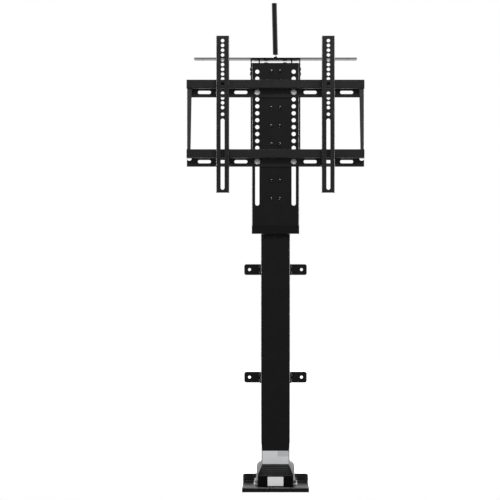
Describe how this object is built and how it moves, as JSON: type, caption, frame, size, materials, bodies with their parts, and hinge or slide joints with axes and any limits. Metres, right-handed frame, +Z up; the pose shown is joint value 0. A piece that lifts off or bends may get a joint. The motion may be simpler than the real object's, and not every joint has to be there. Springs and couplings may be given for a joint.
{
  "type": "tv lift mechanism",
  "caption": "Motor-driven telescopic column lift with a hanging carriage, slotted cross rails, two screen arms and a raised lid plate.",
  "frame": {"origin": "on the floor, at the middle of the base tray", "axes": "+Z up along the lift, the front faces -Y, +X to the right seen from the front"},
  "size_m": [0.486, 0.135, 1.3358],
  "materials": {
    "black_steel": "satin black powder coat",
    "black_screw": "black oxide",
    "cast_aluminium": "cast, light grey",
    "zinc_steel": "bright zinc plate",
    "bright_steel": "turned bright steel",
    "brass": "turned",
    "black_nylon": "moulded nylon",
    "cover_plastic": "fine textured moulding",
    "black_rubber": "soft matt",
    "label": "plain film, no print",
    "board": "coated circuit board"
  },
  "bodies": {
    "root": {"base_plate": "black_steel", "foot_casting": "cast_aluminium", "foot_bolts": "zinc_steel", "foot_nuts": "zinc_steel", "outer_tube": "black_steel", "column_screws": "black_screw", "guide_collar": "black_nylon", "rating_label": "label", "control_cover": "cover_plastic", "cover_label": "label", "cover_screws": "black_screw", "board_posts": "black_nylon", "control_board": "board", "socket_block": "cover_plastic", "motor_seat": "bright_steel", "motor_end_cap": "cast_aluminium", "motor_can": "bright_steel", "gearbox_housing": "cast_aluminium", "gearbox_screws": "black_screw", "spindle_bearing": "bright_steel", "lower_left_wall_bracket": "black_steel", "lower_right_wall_bracket": "black_steel", "upper_left_wall_bracket": "black_steel", "upper_right_wall_bracket": "black_steel", "bracket_screws": "black_screw"},
    "spindle_assembly": {"spindle": "bright_steel", "spindle_coupling": "bright_steel"},
    "lift_carriage": {"spindle_nut": "brass", "push_tube": "bright_steel", "inner_tube": "black_steel", "lower_glide": "black_nylon", "top_cap": "black_steel", "top_cap_bolts": "black_screw", "carriage": "black_steel", "stiffener": "black_steel", "stiffener_screws": "black_screw", "glide_pad": "black_nylon", "lower_rail": "black_steel", "upper_rail": "black_steel", "rail_bolts": "zinc_steel", "rail_nuts": "zinc_steel", "left_side_bar": "black_steel", "right_side_bar": "black_steel", "leg_screws": "black_screw", "stop_pins": "zinc_steel"},
    "lid_bracket": {"lid_plate": "black_steel", "left_lid_leg": "black_steel", "right_lid_leg": "black_steel", "leg_bridge": "black_steel", "rod_stud": "zinc_steel", "rod_sleeve": "black_rubber", "rod_nut": "zinc_steel", "rod_washer": "black_nylon"},
    "left_tv_arm": {"left_arm": "black_steel", "left_arm_lock_bolt": "zinc_steel"},
    "right_tv_arm": {"right_arm": "black_steel", "right_arm_lock_bolt": "zinc_steel"}
  },
  "joints": [
    {"name": "lift_slide", "type": "slide", "parent": "root", "child": "lift_carriage", "axis": [0, 0, 1], "range_m": [-0.45, 0]},
    {"name": "spindle_turn", "type": "hinge", "parent": "root", "child": "spindle_assembly", "pos_m": [0, 0.0365, 0.1], "axis": [0, 0, 1], "range_deg": [-20, 16220]},
    {"name": "lid_bracket_raise", "type": "slide", "parent": "lift_carriage", "child": "lid_bracket", "axis": [0, 0, 1], "range_m": [0, 0.15]},
    {"name": "left_arm_slide", "type": "slide", "parent": "lift_carriage", "child": "left_tv_arm", "axis": [-1, 0, 0], "range_m": [-0.04375, 0.05625]},
    {"name": "right_arm_slide", "type": "slide", "parent": "lift_carriage", "child": "right_tv_arm", "axis": [1, 0, 0], "range_m": [-0.04375, 0.05625]}
  ],
  "couplings": [
    {"joint": "spindle_turn", "follows": "lift_slide", "rad_per_m": -628.32}
  ]
}
